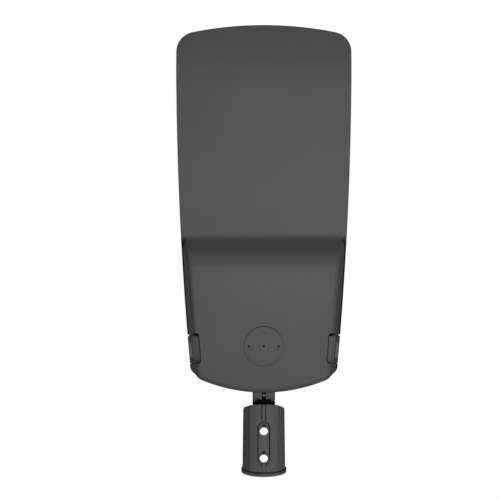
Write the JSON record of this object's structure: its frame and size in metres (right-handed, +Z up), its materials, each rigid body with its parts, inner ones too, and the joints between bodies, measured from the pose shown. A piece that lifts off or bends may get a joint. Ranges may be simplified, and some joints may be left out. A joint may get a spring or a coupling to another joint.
{
  "type": "led street light head",
  "caption": "Flat street light head with a raised gear hump, window below, side latches and a tilting pole-end spigot.",
  "frame": {"origin": "centre of the spigot's mouth, on the axis of its bore", "axes": "+Y from the spigot's mouth towards the nose of the lamp, +X to the right seen from above, +Z up"},
  "size_m": [0.3, 0.763, 0.091],
  "materials": {
    "grey_paint": "powder coat, fine texture",
    "latch_paint": "powder coat",
    "frame_paint": "powder coat",
    "stainless": "plain stainless steel",
    "zinc_steel": "zinc plated sheet",
    "seal": "silicone rubber",
    "clear_glass": "tempered flat glass",
    "led_phosphor": "phosphor over white package",
    "board_white": "white solder mask on metal core",
    "lens_clear": "clear moulded acrylic",
    "driver_case": "white moulded case",
    "surge_case": "red moulded case",
    "terminal_plastic": "white moulding",
    "gland_plastic": "black nylon"
  },
  "bodies": {
    "pole_adaptor": {"pole_adaptor": "grey_paint", "guide_screw": "stainless"},
    "lamp_head": {"upper_housing": "grey_paint", "tilt_screws": "stainless", "latch_pin_right": "stainless", "latch_pin_left": "stainless", "hinge_pins": "stainless", "glass_frame": "frame_paint", "window_glass": "clear_glass", "glass_gasket": "seal", "frame_screws": "stainless", "leds": "led_phosphor", "module_screws": "stainless", "gear_tray": "zinc_steel", "tray_screws": "stainless", "led_driver": "driver_case", "driver_screws": "stainless", "surge_protector": "surge_case", "terminal_block": "terminal_plastic", "gland_seal": "seal", "earth_screw": "stainless", "gland_body": "gland_plastic", "gland_nut": "gland_plastic", "lead_grommet": "seal", "led_board_1": "board_white", "lens_plate_1": "lens_clear", "led_board_2": "board_white", "lens_plate_2": "lens_clear", "led_board_3": "board_white", "lens_plate_3": "lens_clear", "led_board_4": "board_white", "lens_plate_4": "lens_clear"},
    "gear_door": {"gear_door": "grey_paint", "door_gasket": "seal"},
    "latch_right": {"latch_right": "latch_paint"},
    "latch_left": {"latch_left": "latch_paint"}
  },
  "joints": [
    {"name": "head_tilt", "type": "hinge", "parent": "pole_adaptor", "child": "lamp_head", "pos_m": [0, 0.14, 0], "axis": [1, 0, 0], "range_deg": [-15, 15]},
    {"name": "door_hinge", "type": "hinge", "parent": "lamp_head", "child": "gear_door", "pos_m": [0, 0.4025, -0.0405], "axis": [1, 0, 0], "range_deg": [0, 75]},
    {"name": "latch_right_lift", "type": "hinge", "parent": "lamp_head", "child": "latch_right", "pos_m": [0.11843, 0.20635, -0.003], "axis": [-0.085, -0.9964, 0], "range_deg": [0, 30], "stiffness_Nm_per_rad": 0.05, "springref_deg": -17.19},
    {"name": "latch_left_lift", "type": "hinge", "parent": "lamp_head", "child": "latch_left", "pos_m": [-0.11843, 0.20635, -0.003], "axis": [-0.085, 0.9964, 0], "range_deg": [0, 30], "stiffness_Nm_per_rad": 0.05, "springref_deg": -17.19}
  ]
}
